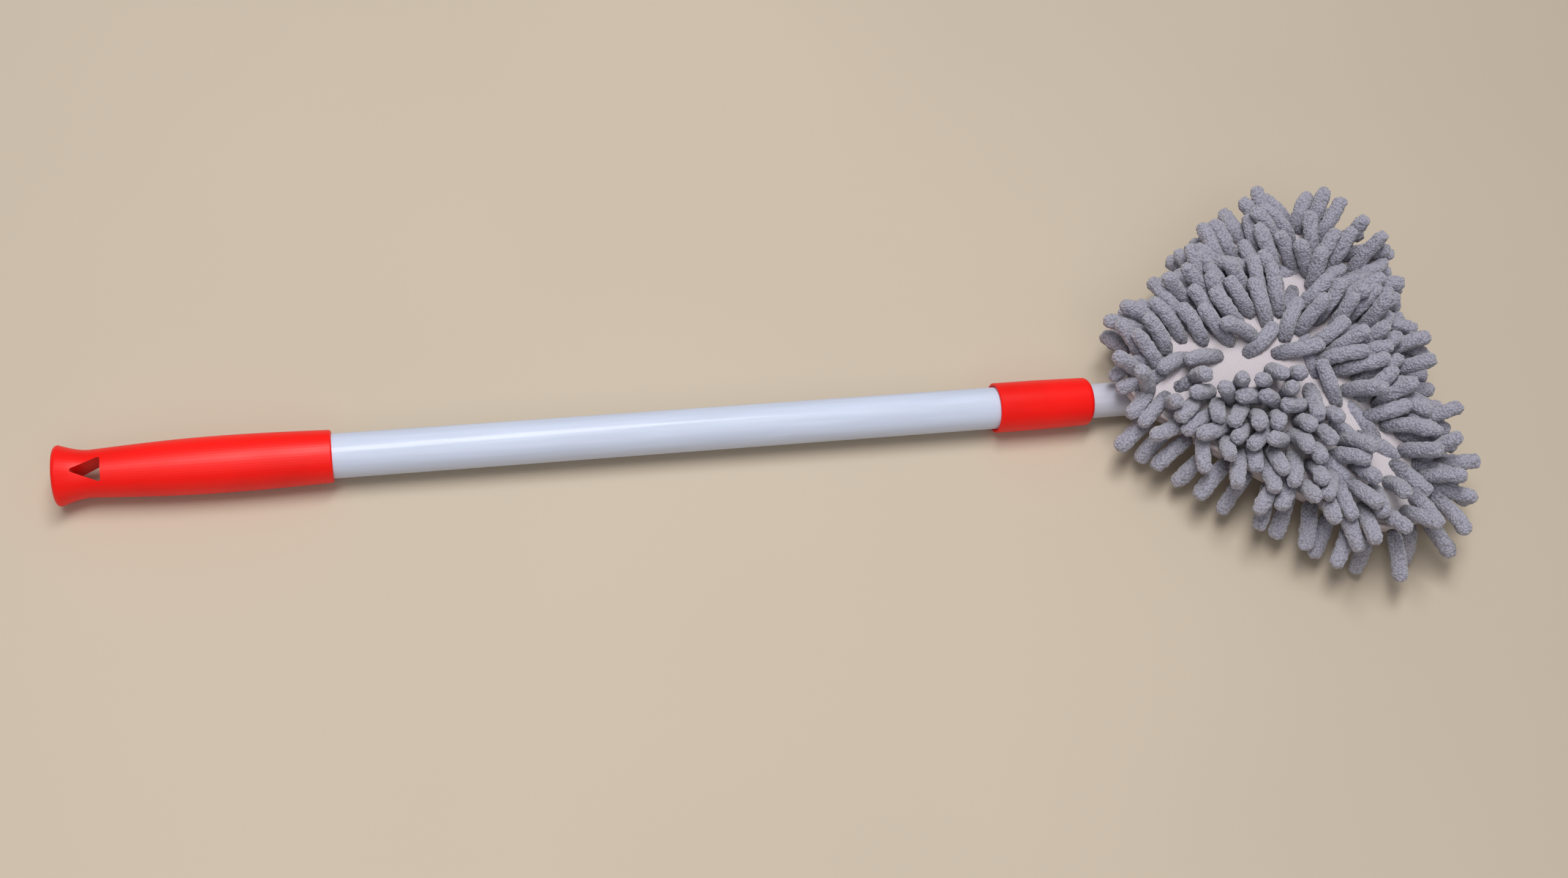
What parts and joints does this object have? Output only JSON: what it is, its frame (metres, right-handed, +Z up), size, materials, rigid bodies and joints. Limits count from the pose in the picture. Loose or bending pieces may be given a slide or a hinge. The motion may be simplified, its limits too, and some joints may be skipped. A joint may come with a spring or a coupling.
{
  "type": "dust mop",
  "caption": "Telescopic dust mop: waisted grip with a hang hole, twist-lock pole and a folding triangular head in a tufted chenille cover.",
  "frame": {"origin": "centre of the butt's flat end, on the pole's axis", "axes": "+X along the pole from the butt to the head, +Z up, the tufted face of the folded head looking up, +Y to the left of the pole"},
  "size_m": [0.8138, 0.276, 0.0757],
  "materials": {
    "red_plastic": "moulded polypropylene, satin gloss",
    "tube_paint": "smooth powder coat on steel tube",
    "inner_paint": "smooth powder coat on steel tube",
    "white_plastic": "natural nylon",
    "plate_plastic": "moulded polypropylene",
    "zinc": "zinc plated",
    "foam": "open-cell foam",
    "cloth": "plain woven polyester",
    "chenille": "microfibre chenille"
  },
  "bodies": {
    "handle": {"grip": "red_plastic", "outer_tube": "tube_paint", "collar": "red_plastic"},
    "lock": {"collet": "white_plastic"},
    "pole": {"inner_tube": "inner_paint", "expander_plug": "white_plastic", "expander_cap": "white_plastic", "cap_screw": "zinc", "neck": "plate_plastic", "neck_rivet": "zinc", "hinge_bolt": "zinc", "hinge_nut": "zinc", "hinge_washers": "zinc"},
    "head": {"head_plate": "plate_plastic", "foam_pad": "foam", "cover_hood": "cloth", "hem_elastic": "cloth", "piping": "cloth", "tufted_face": "chenille", "fringe_left": "chenille", "fringe_right": "chenille", "fringe_base": "chenille", "corner_tuft_left": "chenille", "corner_tuft_right": "chenille"}
  },
  "joints": [
    {"name": "pole_slide", "type": "slide", "parent": "handle", "child": "lock", "axis": [1, 0, 0], "range_m": [0, 0.4]},
    {"name": "pole_twist", "type": "hinge", "parent": "lock", "child": "pole", "pos_m": [0.1, 0, 0], "axis": [1, 0, 0], "range_deg": [0, 180]},
    {"name": "head_tilt", "type": "hinge", "parent": "pole", "child": "head", "pos_m": [0.715, 0, 0], "axis": [0, 1, 0], "range_deg": [0, 180]}
  ]
}
